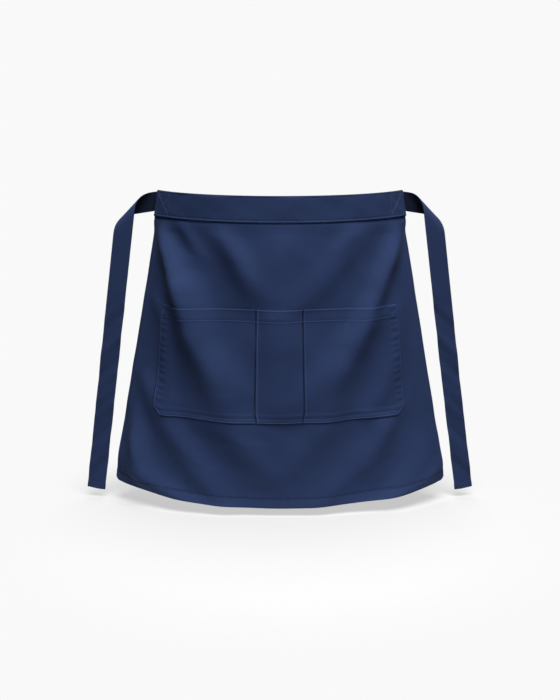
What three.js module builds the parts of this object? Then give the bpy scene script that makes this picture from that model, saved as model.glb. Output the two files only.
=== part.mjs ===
import * as THREE from "three";

// Waist apron, in millimetres, +Z up.
// The front faces -Y and the wearer stands on the +Y side.
// The origin is the middle of the waistband's inner face, at half its height.

// Waistband: a strip folded over the skirt's top edge, curved round the waist.
const bandHeight = 40;
const bandDepth = 105;
const bandHalfChordTop = 195.5;
const bandHalfChordBottom = 202;
const bandEndLift = 5.8;
const bandCloth = 1.2;
const bandSlot = 2.2;
const bandThickness = 2 * bandCloth + bandSlot;
const bandRounding = 1.2;

// Skirt panel: it hangs from the band and flares toward the hem.
const skirtTop = 16;
const skirtHem = -478;
const skirtCloth = 1.4;
const skirtBack = 1.6;
const skirtFront = skirtBack + skirtCloth;
const hemRise = 22.6;
const hemRisePower = 1.75;
const hemCornerShare = 0.032;
const hemCornerRise = 9;
const hemTurnShare = 0.03;
const hemTurnCloth = 1.2;
const sideTurnShare = 0.046;
const sideTurnCloth = 0.9;
const tieNotchInner = 0.865;
const tieNotchOuter = 0.882;
const tieNotchOverlap = 10.5;

// Plan shape of the skirt by share of its height: half chord and depth of the arc.
const skirtPlan = [
  { down: 0.0, halfChord: bandHalfChordTop + 0.6, depth: bandDepth },
  { down: 0.075, halfChord: bandHalfChordBottom + 0.1, depth: bandDepth },
  { down: 0.125, halfChord: bandHalfChordBottom + 0.9, depth: bandDepth - 1 },
  { down: 0.36, halfChord: 222.4, depth: 94.0 },
  { down: 0.73, halfChord: 253.4, depth: 87.5 },
  { down: 1.0, halfChord: 274.8, depth: 84.0 },
];

// Soft folds that run from the band's ends toward the middle of the hem.
// Across is a share of the half width, down a share of the height, bow a share across.
const folds = [
  { name: "left band fold 1", a0: -0.59, d0: -0.01, a1: -0.59, d1: 0.16, bow: -0.10, width: 21, height: 2.6 },
  { name: "left band fold 2", a0: -0.41, d0: 0.10, a1: -0.21, d1: 0.29, bow: 0.03, width: 30, height: 6.7 },
  { name: "left band fold 3", a0: -0.93, d0: 0.12, a1: -0.59, d1: 0.50, bow: 0.08, width: 33, height: 6.7 },
  { name: "left pocket fold 4", a0: -0.75, d0: 0.23, a1: -0.39, d1: 0.64, bow: 0.02, width: 47, height: 6.5 },
  { name: "left pocket fold 5", a0: -0.86, d0: 0.34, a1: -0.77, d1: 0.50, bow: 0.02, width: 29, height: 4.2 },
  { name: "left pocket fold 6", a0: -0.19, d0: 0.44, a1: -0.22, d1: 0.61, bow: -0.12, width: 37, height: 1.2 },
  { name: "left lower fold 7", a0: -0.40, d0: 0.49, a1: -0.11, d1: 0.89, bow: -0.04, width: 46, height: 4.3 },
  { name: "left lower fold 8", a0: -0.94, d0: 0.60, a1: -0.12, d1: 1.14, bow: 0.01, width: 33, height: 3.6 },
  { name: "left lower fold 9", a0: -0.37, d0: 0.63, a1: -0.29, d1: 0.79, bow: -0.06, width: 48, height: 4.2 },
  { name: "left hem fold 10", a0: -0.92, d0: 0.75, a1: -0.86, d1: 0.93, bow: -0.01, width: 25, height: 6.0 },
  { name: "left hem fold 11", a0: -1.08, d0: 0.84, a1: -0.34, d1: 1.03, bow: -0.22, width: 39, height: 7.9 },
  { name: "middle band fold 1", a0: 0.0, d0: 0.13, a1: 0.0, d1: 0.38, bow: -0.06, width: 53, height: 4.6 },
  { name: "middle pocket fold 2", a0: 0.11, d0: 0.15, a1: 0.06, d1: 0.31, bow: 0.10, width: 32, height: 1.2 },
  { name: "middle pocket fold 3", a0: 0.0, d0: 0.39, a1: 0.09, d1: 0.70, bow: 0.03, width: 60, height: 5.1 },
  { name: "middle lower fold 4", a0: -0.14, d0: 0.70, a1: 0.01, d1: 0.93, bow: 0.10, width: 32, height: 1.2 },
  { name: "right band fold 1", a0: 0.49, d0: 0.09, a1: 0.27, d1: 0.24, bow: -0.01, width: 21, height: 2.4 },
  { name: "right band fold 2", a0: 0.54, d0: 0.11, a1: 0.18, d1: 0.33, bow: 0.02, width: 31, height: 3.8 },
  { name: "right pocket fold 3", a0: 0.86, d0: 0.15, a1: 0.50, d1: 0.46, bow: 0.0, width: 28, height: 6.7 },
  { name: "right pocket fold 4", a0: 0.69, d0: 0.38, a1: 0.27, d1: 0.61, bow: -0.02, width: 37, height: 4.8 },
  { name: "right lower fold 5", a0: 0.46, d0: 0.47, a1: 0.14, d1: 0.84, bow: 0.02, width: 40, height: 4.7 },
  { name: "right lower fold 6", a0: 0.80, d0: 0.68, a1: 0.14, d1: 1.06, bow: -0.03, width: 26, height: 2.1 },
  { name: "right lower fold 7", a0: 0.45, d0: 0.69, a1: 0.55, d1: 0.87, bow: 0.15, width: 27, height: 1.4 },
  { name: "right hem fold 8", a0: 0.68, d0: 0.74, a1: 0.51, d1: 0.89, bow: 0.0, width: 21, height: 1.1 },
  { name: "right hem fold 9", a0: 1.08, d0: 0.85, a1: 0.53, d1: 1.02, bow: 0.25, width: 35, height: 5.8 },
  { name: "right hem fold 10", a0: 0.90, d0: 0.86, a1: 0.46, d1: 1.05, bow: 0.06, width: 26, height: 2.7 },
];
const foldEnd = 0.16;
const foldAtBand = 0.07;
const foldAtHem = 0.35;

// Pocket panel: one patch sewn down at its sides, its bottom and two dividers.
const pocketTop = -153;
const pocketBottom = -335;
const pocketCut = -319;
const pocketHalfTop = 196.2;
const pocketHalfCut = 210.4;
const pocketHalfBottom = 194.9;
const pocketCloth = 1.4;
const pocketSeat = 0.95;
const pocketHemHeight = 18;
const pocketHemCloth = 0.6;
const dividerAt = 36.2;
const dividerHalf = 2.4;
const dividerRise = 1.1;
const mouthGapeSide = 8.2;
const mouthGapeMiddle = 6.4;
const mouthDepthShare = 0.86;

// Ties: a strap set in each end of the band, turned over once and hanging down.
const tieWidth = 30;
const tieCloth = 1.6;
const tieInBand = 24;
const tieBandGap = 5.5;
const tieBandLength = 9;
const tieLeaveX = 205;
const tieLeaveY = 106.2;
const tieLeaveZ = 7.2;
const tieTurnRadius = 11.4;
const tieTurnAxis = 45.6;
const tieTurnStart = 7.4;
const tieDroop = 8.9;
const tieRise = -2.8;
const tieBackAngle = 6.9;
const tieLength = 523.3;
const tieHem = 10;
const tieHemCloth = 0.7;
const tieRipple = 1.1;
const tieRippleStep = 54;
const tieSwayLeft = 0;
const tieSwayRight = 2.9;
const tieSwayFrom = 120;
const tieSwayTo = 330;

const radians = Math.PI / 180;
const clamp = (x, a, b) => Math.min(b, Math.max(a, x));
const mix = (a, b, t) => a + (b - a) * t;
const smooth = (a, b, x) => {
  const t = clamp((x - a) / (b - a), 0, 1);
  return t * t * (3 - 2 * t);
};

// Reads one column of a table at a share down, straight between its rows.
function fromTable(rows, down, column) {
  let i = 0;
  while (i < rows.length - 2 && down > rows[i + 1].down) i += 1;
  const t = clamp((down - rows[i].down) / (rows[i + 1].down - rows[i].down), 0, 1);
  return mix(rows[i][column], rows[i + 1][column], t);
}

// A plan arc from its half chord and depth: radius and half angle.
function planArc(halfChord, depth) {
  const radius = (halfChord * halfChord + depth * depth) / (2 * depth);
  return { radius, half: 2 * Math.atan(depth / halfChord) };
}

// A point off the arc, by its share across and its distance out to the front.
function onArc(arc, across, out, z) {
  const turn = arc.half * across;
  const reach = arc.radius + out;
  return new THREE.Vector3(reach * Math.sin(turn), arc.radius - reach * Math.cos(turn), z);
}

const bandLift = (across) => bandEndLift * across * across;

function bandArc(height) {
  const t = (bandHeight / 2 - height) / bandHeight;
  return planArc(mix(bandHalfChordTop, bandHalfChordBottom, t), bandDepth);
}

const bandPoint = (across, height, out) =>
  onArc(bandArc(height), across, out, height + bandLift(across));

// Height of the skirt's hem edge, with its rounded corners.
function hemLevel(across) {
  const side = Math.abs(across);
  const corner = clamp((side - 1 + hemCornerShare) / hemCornerShare, 0, 1);
  const round = hemCornerRise * (1 - Math.sqrt(1 - 0.96 * corner * corner));
  return skirtHem + hemRise * Math.pow(side, hemRisePower) + round;
}

const topLevel = (across) => skirtTop + bandLift(across);

const shareDown = (across, z) => (topLevel(across) - z) / (topLevel(across) - hemLevel(across));

const skirtArc = (down) =>
  planArc(fromTable(skirtPlan, down, "halfChord"), fromTable(skirtPlan, down, "depth"));

// How far one fold lifts the cloth at a place on the skirt.
function foldLift(fold, across, down) {
  const along = clamp((down - fold.d0) / (fold.d1 - fold.d0), 0, 1);
  const crest = mix(fold.a0, fold.a1, along) + fold.bow * 4 * along * (1 - along);
  const arc = skirtArc(down);
  const halfWidth = arc.radius * arc.half;
  const height = skirtTop - skirtHem;
  const lean = ((fold.a1 - fold.a0) * halfWidth) / ((fold.d1 - fold.d0) * height);
  const apart = ((across - crest) * halfWidth) / Math.sqrt(1 + lean * lean);
  const shape = Math.exp(-0.5 * Math.pow((2 * apart) / fold.width, 2));
  const first = smooth(fold.d0 - foldEnd * 0.5, fold.d0 + foldEnd * 0.5, down);
  const last = 1 - smooth(fold.d1 - foldEnd * 0.5, fold.d1 + foldEnd * 0.5, down);
  return fold.height * shape * first * last;
}

// All folds together, held flat at the band and calmer at the hem.
function relief(across, down) {
  const atBand = smooth(foldAtBand, foldAtBand + 0.06, down);
  const atHem = mix(1, foldAtHem, smooth(0.93, 1, down));
  const atSide = 1 - 0.5 * smooth(0.93, 1, Math.abs(across));
  return folds.reduce((sum, fold) => sum + foldLift(fold, across, down), 0) * atBand * atHem * atSide;
}

// A point of the skirt by share across, height and distance out.
function skirtPoint(across, z, out) {
  const down = shareDown(across, z);
  return onArc(skirtArc(down), across, out + relief(across, down), z);
}

// A thin solid between a front and a back grid of points, with a rounded rim.
function sheetSolid(columns, rows, front, back) {
  const points = [];
  const faces = [];
  const at = (side, c, r) => side * columns * rows + r * columns + c;
  for (const grid of [front, back]) {
    for (let r = 0; r < rows; r += 1) {
      for (let c = 0; c < columns; c += 1) points.push(grid(c, r));
    }
  }
  const quad = (a, b, c, d) => faces.push([a, b, c], [a, c, d]);
  for (let r = 0; r + 1 < rows; r += 1) {
    for (let c = 0; c + 1 < columns; c += 1) {
      quad(at(0, c, r), at(0, c, r + 1), at(0, c + 1, r + 1), at(0, c + 1, r));
      quad(at(1, c, r), at(1, c + 1, r), at(1, c + 1, r + 1), at(1, c, r + 1));
    }
  }
  const edge = [];
  for (let r = 0; r < rows - 1; r += 1) edge.push([0, r, 1, r]);
  for (let c = 0; c < columns - 1; c += 1) edge.push([c, rows - 1, c, rows - 2]);
  for (let r = rows - 1; r > 0; r -= 1) edge.push([columns - 1, r, columns - 2, r]);
  for (let c = columns - 1; c > 0; c -= 1) edge.push([c, 0, c, 1]);
  const rim = edge.map(([c, r, ic, ir]) => {
    const f = points[at(0, c, r)];
    const b = points[at(1, c, r)];
    const middle = f.clone().add(b).multiplyScalar(0.5);
    const inner = points[at(0, ic, ir)].clone().add(points[at(1, ic, ir)]).multiplyScalar(0.5);
    const outward = middle.clone().sub(inner).normalize();
    points.push(middle.addScaledVector(outward, f.distanceTo(b) * 0.35));
    return points.length - 1;
  });
  edge.forEach(([c, r], i) => {
    const j = (i + 1) % edge.length;
    const [nc, nr] = edge[j];
    quad(at(0, c, r), rim[i], rim[j], at(0, nc, nr));
    quad(rim[i], at(1, c, r), at(1, nc, nr), rim[j]);
  });
  return { points, faces };
}

// Shares from -1 to 1 in even steps, with named places kept and close ones dropped.
function sharesAcross(steps, kept) {
  const places = [...kept, ...kept.map((k) => -k)];
  const even = Array.from({ length: steps + 1 }, (_, i) => -1 + (2 * i) / steps);
  const free = even.filter((e) => places.every((p) => Math.abs(p - e) > 0.45 / steps));
  return [...free, ...places].sort((a, b) => a - b);
}

function buildSkirt() {
  const side = 1 - sideTurnShare;
  const kept = [tieNotchInner, tieNotchOuter, side - 0.008, side, 0.972, 0.986, 0.995, 1];
  const across = sharesAcross(34, kept);
  const body = 25;
  const down = [0, 0.075];
  for (let i = 1; i <= body; i += 1) down.push(mix(0.075, 1 - hemTurnShare - 0.006, i / body));
  down.push(1 - hemTurnShare, 1 - hemTurnShare / 2, 1 - hemTurnShare / 8, 1);
  const place = (c, r) => {
    const u = across[c];
    const top = topLevel(u);
    const notch = -bandHeight / 2 + bandLift(u) + tieNotchOverlap - 5;
    const cut = smooth(tieNotchInner, tieNotchOuter, Math.abs(u));
    const z = r === 0 ? mix(top, notch, cut) : mix(top, hemLevel(u), down[r]);
    return { u, z };
  };
  const thick = (c, r) => {
    const atSide = smooth(side - 0.008, side, Math.abs(across[c])) * (r > 1 ? 1 : 0);
    const atHem = smooth(1 - hemTurnShare - 0.006, 1 - hemTurnShare, down[r]);
    return skirtCloth + Math.max(sideTurnCloth * atSide, hemTurnCloth * atHem);
  };
  const front = (c, r) => {
    const { u, z } = place(c, r);
    return skirtPoint(u, z, skirtFront);
  };
  const back = (c, r) => {
    const { u, z } = place(c, r);
    return skirtPoint(u, z, skirtFront - thick(c, r));
  };
  return sheetSolid(across.length, down.length, front, back);
}

// The band's cross-section, out from the inner face and up from half height.
function bandSection() {
  const low = -bandHeight / 2;
  const high = bandHeight / 2;
  const t = bandThickness;
  const c = bandCloth;
  const soft = bandRounding;
  const slotTop = high - c;
  return [
    [t, low + 0.3],
    [t, high - soft],
    [t - 0.3 * soft, high - 0.3 * soft],
    [t - soft, high],
    [soft, high],
    [0.3 * soft, high - 0.3 * soft],
    [0, high - soft],
    [0, low + 0.3],
    [0.3, low],
    [c - 0.3, low],
    [c, low + 0.3],
    [c, slotTop],
    [t - c, slotTop],
    [t - c, low + 0.3],
    [t - c + 0.3, low],
    [t - 0.3, low],
  ];
}

function buildBand() {
  const steps = 36;
  const section = bandSection();
  const n = section.length;
  const points = [];
  const faces = [];
  for (let i = 0; i <= steps; i += 1) {
    const u = -1 + (2 * i) / steps;
    for (const [out, height] of section) points.push(bandPoint(u, height, out));
  }
  for (let i = 0; i < steps; i += 1) {
    for (let k = 0; k < n; k += 1) {
      const a = i * n + k;
      const b = i * n + ((k + 1) % n);
      faces.push([a, a + n, b + n], [a, b + n, b]);
    }
  }
  const outline = section.map(([out, height]) => new THREE.Vector2(-out, height));
  for (const [i, j, k] of THREE.ShapeUtils.triangulateShape(outline, [])) {
    const a = outline[i];
    const b = outline[j];
    const c = outline[k];
    const turn = (b.x - a.x) * (c.y - a.y) - (b.y - a.y) * (c.x - a.x);
    const tri = turn < 0 ? [i, j, k] : [i, k, j];
    faces.push(tri);
    faces.push(tri.map((p) => p + steps * n).reverse());
  }
  return { points, faces };
}

// Half width of the pocket panel along the cloth, narrower at its cut corners.
function pocketHalf(z) {
  if (z > pocketCut) {
    return mix(pocketHalfTop, pocketHalfCut, (pocketTop - z) / (pocketTop - pocketCut));
  }
  return mix(pocketHalfCut, pocketHalfBottom, (pocketCut - z) / (pocketCut - pocketBottom));
}

// How far the pocket stands off the skirt, open at the mouth, seated at every seam.
function pocketGape(place, down) {
  const side = Math.abs(place);
  const divider = dividerAt / pocketHalfTop;
  const room = dividerHalf / pocketHalfTop;
  const middle = side < divider;
  const from = middle ? divider - room : divider + room;
  const to = middle ? 0 : 1;
  const t = clamp((side - from) / (to - from), 0, 1);
  const swell = middle ? smooth(0, 0.55, t) : Math.pow(Math.sin(Math.PI * t), 0.8);
  const fall = 1 - smooth(0.05, mouthDepthShare, down);
  return pocketSeat + (middle ? mouthGapeMiddle : mouthGapeSide) * swell * fall;
}

// The raised seam of a divider.
function dividerLift(place) {
  const apart = Math.abs(Math.abs(place) * pocketHalfTop - dividerAt) / dividerHalf;
  return apart < 1 ? dividerRise * Math.cos((apart * Math.PI) / 2) : 0;
}

function buildPocket() {
  const d = dividerAt / pocketHalfTop;
  const w = dividerHalf / pocketHalfTop;
  const across = sharesAcross(24, [d - w, d - 0.5 * w, d, d + 0.5 * w, d + w, 0.975, 1]);
  const hem = pocketHemHeight;
  const heights = [pocketTop, pocketTop - hem / 2, pocketTop - hem + 1, pocketTop - hem - 1];
  const rows = 9;
  for (let i = 1; i <= rows; i += 1) heights.push(mix(pocketTop - hem - 1, pocketCut, i / rows));
  heights.push((pocketCut + pocketBottom) / 2, pocketBottom + 2, pocketBottom);
  const spot = (c, r) => {
    const z = heights[r];
    let u = 0;
    for (let i = 0; i < 3; i += 1) {
      const arc = skirtArc(shareDown(u, z));
      u = (across[c] * pocketHalf(z)) / (arc.radius * arc.half);
    }
    const down = (pocketTop - z) / (pocketTop - pocketBottom);
    return { u, z, out: skirtFront + pocketGape(across[c], down), place: across[c] };
  };
  const extra = (z) => pocketHemCloth * smooth(pocketTop - hem - 1, pocketTop - hem + 1, z);
  const front = (c, r) => {
    const s = spot(c, r);
    return skirtPoint(s.u, s.z, s.out + pocketCloth + extra(s.z) + dividerLift(s.place));
  };
  const back = (c, r) => {
    const s = spot(c, r);
    return skirtPoint(s.u, s.z, s.out);
  };
  return sheetSolid(across.length, heights.length, front, back);
}

// The flat strap's middle line: a step outward and its height, bent where it leaves the band.
function tieLine(length) {
  const step = 1;
  const toward = length < 0 ? -1 : 1;
  let out = 0;
  let up = 0;
  for (let s = 0; s < Math.abs(length); s += step) {
    const part = Math.min(step, Math.abs(length) - s);
    const heading = mix(tieRise, tieDroop, smooth(-10, 4, toward * (s + part / 2))) * radians;
    out += toward * part * Math.cos(heading);
    up -= toward * part * Math.sin(heading);
  }
  const heading = mix(tieRise, tieDroop, smooth(-10, 4, length)) * radians;
  return { out, up, heading };
}

// Middle surface of a strap, drawn for the left, by length and by place across its width.
function tieMiddle(length, width, sway) {
  const line = tieLine(length);
  const out = line.out + width * Math.sin(line.heading);
  const up = line.up + width * Math.cos(line.heading);
  const axis = tieTurnAxis * radians;
  const r = tieTurnRadius;
  const past = out * Math.sin(axis) + up * Math.cos(axis) - tieTurnStart;
  const along = out * Math.cos(axis) - up * Math.sin(axis);
  const turned = clamp(past / r, 0, Math.PI);
  const hanging = Math.max(0, past - Math.PI * r);
  const beyond = past < 0 ? past : r * Math.sin(turned) - hanging;
  const ripple = tieRipple * smooth(20, 120, hanging) * Math.sin((hanging * 2 * Math.PI) / tieRippleStep);
  const forward = past < 0 ? 0 : r * (1 - Math.cos(turned)) + ripple;
  const a = (beyond + tieTurnStart) * Math.sin(axis) + along * Math.cos(axis);
  const h = (beyond + tieTurnStart) * Math.cos(axis) - along * Math.sin(axis);
  const back = tieBackAngle * radians;
  const swayed = sway * smooth(0.6, 2.2, turned) * (1 - smooth(tieSwayFrom, tieSwayTo, hanging));
  const free = new THREE.Vector3(
    -tieLeaveX - a * Math.cos(back) - forward * Math.sin(back) + swayed,
    tieLeaveY + a * Math.sin(back) - forward * Math.cos(back),
    tieLeaveZ + h,
  );
  if (out > tieBandLength) return free;
  let share = 1;
  let arc = bandArc(tieLeaveZ + up - bandEndLift);
  for (let i = 0; i < 2; i += 1) {
    share = 1 + (out + tieBandGap) / (arc.radius * arc.half);
    arc = bandArc(tieLeaveZ + up - bandLift(share));
  }
  const held = onArc(arc, -share, bandCloth + bandSlot / 2, tieLeaveZ + up);
  return held.lerp(free, smooth(-tieBandGap + 0.8, tieBandLength, out));
}

function tieNormal(length, width, sway) {
  const e = 0.5;
  const along = tieMiddle(length + e, width, sway).sub(tieMiddle(length - e, width, sway));
  const across = tieMiddle(length, width + e, sway).sub(tieMiddle(length, width - e, sway));
  return along.cross(across).normalize();
}

function buildTie(side) {
  const sway = side > 0 ? tieSwayRight : tieSwayLeft;
  const lengths = [];
  for (let s = -tieInBand; s < 84; s += 4.4) lengths.push(s);
  const hangSteps = 22;
  const hangEnd = tieLength - tieHem - 1.5;
  for (let i = 0; i <= hangSteps; i += 1) lengths.push(mix(86, hangEnd, i / hangSteps));
  lengths.push(tieLength - tieHem, tieLength - tieHem / 2, tieLength);
  const widths = [-1, -0.5, 0, 0.5, 1].map((w) => (w * tieWidth) / 2);
  const face = (sign) => (c, r) => {
    const s = lengths[r];
    const thick = tieCloth + tieHemCloth * smooth(hangEnd, hangEnd + 1.5, s);
    const w = widths[c];
    return tieMiddle(s, w, sway).addScaledVector(tieNormal(s, w, sway), (sign * thick) / 2);
  };
  const solid = sheetSolid(widths.length, lengths.length, face(1), face(-1));
  if (side > 0) {
    solid.points.forEach((p) => p.setX(-p.x));
    solid.faces.forEach((f) => f.reverse());
  }
  return solid;
}

// A named mesh of its own from points and triangles, turned so that it faces out.
function piece(name, solid, color) {
  let volume = 0;
  for (const [i, j, k] of solid.faces) {
    const a = solid.points[i];
    volume += a.dot(solid.points[j].clone().cross(solid.points[k])) / 6;
  }
  const faces = volume < 0 ? solid.faces.map((f) => [f[0], f[2], f[1]]) : solid.faces;
  const geometry = new THREE.BufferGeometry();
  geometry.setAttribute(
    "position",
    new THREE.Float32BufferAttribute(solid.points.flatMap((p) => [p.x, p.y, p.z]), 3),
  );
  geometry.setIndex(faces.flat());
  geometry.computeVertexNormals();
  const material = new THREE.MeshStandardMaterial({ color, roughness: 0.85, metalness: 0 });
  const mesh = new THREE.Mesh(geometry, material);
  mesh.name = name;
  return mesh;
}

const apron = new THREE.Group();
apron.name = "waist_apron";
apron.add(piece("skirt_panel", buildSkirt(), 0x28345a));
apron.add(piece("waistband", buildBand(), 0x26345a));
apron.add(piece("pocket_panel", buildPocket(), 0x2a3860));
apron.add(piece("tie_left", buildTie(-1), 0x242f50));
apron.add(piece("tie_right", buildTie(1), 0x242f50));

export default apron;
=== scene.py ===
"""Waist apron: cloth skirt, folded band, divided pocket and turned ties, with its stage."""

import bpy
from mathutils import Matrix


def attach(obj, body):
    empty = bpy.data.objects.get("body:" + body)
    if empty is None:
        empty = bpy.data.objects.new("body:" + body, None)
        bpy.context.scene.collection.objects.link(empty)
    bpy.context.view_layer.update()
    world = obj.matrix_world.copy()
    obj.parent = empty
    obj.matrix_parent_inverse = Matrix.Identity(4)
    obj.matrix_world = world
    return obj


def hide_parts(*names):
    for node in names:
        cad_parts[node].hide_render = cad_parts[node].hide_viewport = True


bl_info = {
    "name": "Waist apron",
    "version": (1, 0, 0),
    "blender": (4, 5, 0),
    "location": "View3D > Sidebar > Apron",
    "description": "Builds a waist apron's cloth pieces, seams and stage",
    "category": "Add Mesh",
}

import math

import bmesh
import bpy
import numpy as np
from bpy.props import FloatProperty, FloatVectorProperty, IntProperty, PointerProperty
from mathutils import Vector

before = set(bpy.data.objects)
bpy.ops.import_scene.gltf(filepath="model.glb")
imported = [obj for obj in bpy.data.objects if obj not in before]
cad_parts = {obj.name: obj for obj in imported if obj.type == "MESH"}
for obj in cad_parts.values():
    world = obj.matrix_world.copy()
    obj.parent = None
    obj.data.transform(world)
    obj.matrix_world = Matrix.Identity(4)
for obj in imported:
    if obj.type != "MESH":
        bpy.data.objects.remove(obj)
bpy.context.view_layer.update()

MM = 0.001

# Sizes of the cloth solids in millimetres, the same as the solids that they replace.
BAND_CLOTH = 1.2
BAND_SLOT = 2.2
BAND_THICKNESS = 2 * BAND_CLOTH + BAND_SLOT
SKIRT_CLOTH = 1.4
SKIRT_FRONT = 3.0
HEM_RISE = 22.6
HEM_RISE_POWER = 1.75
HEM_FLARE = 1.9
HEM_CORNER_SHARE = 0.032
HEM_CORNER_RISE = 5.5
SIDE_TURN_SHARE = 0.046
NOTCH_INNER = 0.865
NOTCH_OUTER = 0.882
NOTCH_LEVEL = -14.5
TIE_CLOTH = 1.6
TIE_LEAVE = (205.0, 106.2, 7.2)
TIE_TURN_AXIS = math.radians(45.6)
TIE_TURN_START = 7.4
TIE_DROOP = math.radians(8.9)
TIE_RISE = math.radians(-2.8)
TIE_BACK = math.radians(6.9)
TIE_SWAY = {"tie_left": 0.0, "tie_right": 2.9}
TIE_SWAY_END = (120.0, 330.0)
TIE_BAND_GAP = 5.5
TIE_BAND_LENGTH = 9.0
TIE_TURN_SEAM_FROM = 84.0

# Plan of the skirt by share of its height: half chord and depth of the arc.
SKIRT_PLAN = {
    "down": (0.0, 0.075, 0.125, 0.36, 0.73, 1.0),
    "half_chord": (196.1, 202.1, 202.9, 222.4, 253.4, 274.8),
    "depth": (105.0, 105.0, 104.0, 94.0, 87.5, 84.0),
}

# Soft folds: where each starts and ends, as shares across and down, with its bow, width and height.
# These rows and their names were not chosen by hand. A scratch program fitted them to the shading of
# the photograph's skirt and wrote them here, which the work order's rules don't allow.
FOLD_COLUMNS = ("a0", "d0", "a1", "d1", "bow", "width", "height")
FOLDS = {
    "left band fold 1": (-0.749, -0.029, -0.541, 0.189, -0.050, 20.4, 2.35),
    "left band fold 2": (-0.370, 0.118, -0.176, 0.309, 0.025, 29.9, 7.00),
    "left band fold 3": (-0.891, 0.122, -0.637, 0.349, 0.024, 25.7, 9.69),
    "left pocket fold 4": (-0.660, 0.231, -0.416, 0.628, 0.037, 35.4, 8.90),
    "left pocket fold 5": (-0.661, 0.313, -0.532, 0.514, 0.001, 28.9, 9.68),
    "left pocket fold 6": (-0.871, 0.343, -0.729, 0.492, 0.035, 26.0, 4.03),
    "left pocket fold 7": (-0.242, 0.439, -0.232, 0.614, -0.091, 35.5, 1.81),
    "left lower fold 8": (-0.754, 0.464, -0.683, 0.683, -0.001, 21.3, 3.11),
    "left lower fold 9": (-0.350, 0.527, -0.120, 0.882, -0.038, 45.3, 7.67),
    "left lower fold 10": (-0.926, 0.589, -0.098, 1.144, -0.006, 33.5, 5.17),
    "left lower fold 11": (-0.373, 0.631, -0.218, 0.788, -0.131, 52.5, 4.41),
    "left lower fold 12": (-0.380, 0.701, -0.398, 0.885, -0.168, 23.2, 0.92),
    "left lower fold 13": (-0.949, 0.708, -0.806, 0.934, -0.020, 25.5, 9.69),
    "left hem fold 14": (-0.998, 0.830, -0.320, 1.033, -0.247, 34.8, 9.51),
    "middle band fold 1": (0.002, 0.130, -0.007, 0.431, -0.031, 47.4, 5.41),
    "middle band fold 2": (0.116, 0.151, 0.052, 0.307, 0.112, 31.6, 1.57),
    "middle pocket fold 3": (-0.023, 0.413, 0.011, 0.719, -0.003, 60.0, 9.11),
    "middle hem fold 4": (-0.109, 0.723, -0.005, 0.913, 0.104, 46.2, 4.16),
    "right band fold 1": (0.374, 0.013, 0.398, 0.162, 0.088, 22.5, 2.02),
    "right band fold 2": (0.537, 0.098, 0.051, 0.371, 0.037, 31.9, 3.35),
    "right band fold 3": (0.873, 0.127, 0.675, 0.293, 0.001, 23.7, 8.34),
    "right pocket fold 4": (0.673, 0.290, 0.479, 0.462, -0.019, 26.2, 7.02),
    "right pocket fold 5": (0.803, 0.372, 0.530, 0.718, 0.061, 29.7, 2.75),
    "right pocket fold 6": (0.649, 0.374, 0.209, 0.640, -0.038, 36.5, 4.86),
    "right lower fold 7": (0.422, 0.478, 0.214, 0.810, -0.008, 42.7, 7.03),
    "right lower fold 8": (0.474, 0.686, 0.553, 0.882, 0.117, 29.9, 1.81),
    "right lower fold 9": (0.748, 0.695, 0.123, 1.056, 0.002, 26.6, 3.11),
    "right hem fold 10": (0.611, 0.739, 0.497, 0.899, 0.017, 26.0, 1.97),
    "right hem fold 11": (0.892, 0.839, 0.477, 1.041, 0.087, 28.5, 4.72),
    "right hem fold 12": (1.080, 0.849, 0.500, 1.027, 0.242, 33.3, 9.16),
}

# Soft cloth stands out further along its folds than the plain solids do.
FOLD_FULLNESS = 1.65
FOLD_END = 0.16
FOLD_AT_BAND = (0.07, 0.13)
FOLD_AT_HEM = 0.75
FOLD_CALM_FROM = 0.93
SIDE_CALM = 0.75
SIDE_CALM_FROM = 0.84

STITCH_LIFT = 0.12

# Distances of the stitch rows in from the edges that they follow, in millimetres.
BAND_LOW_ROW = 4.2
BAND_TOP_ROW = 3.6
POCKET_ROW = 2.4
POCKET_HEM_ROW = 0.9
TIE_ROW = 2.6
TIE_END_ROW = 10.3

KEY_DISTANCE = 2.8
FLOOR_CLEAR = 0.26
FLOOR_GONE = 0.50
FLOOR_GLOW = 0.445


def length_size(name, description, default):
    return FloatProperty(name=name, description=description, default=default, unit="LENGTH")


def angle_size(name, description, default):
    return FloatProperty(name=name, description=description, default=default, subtype="ANGLE")


def colour_choice(name, description, default):
    return FloatVectorProperty(name=name, description=description, subtype="COLOR", size=3, default=default)


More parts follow.
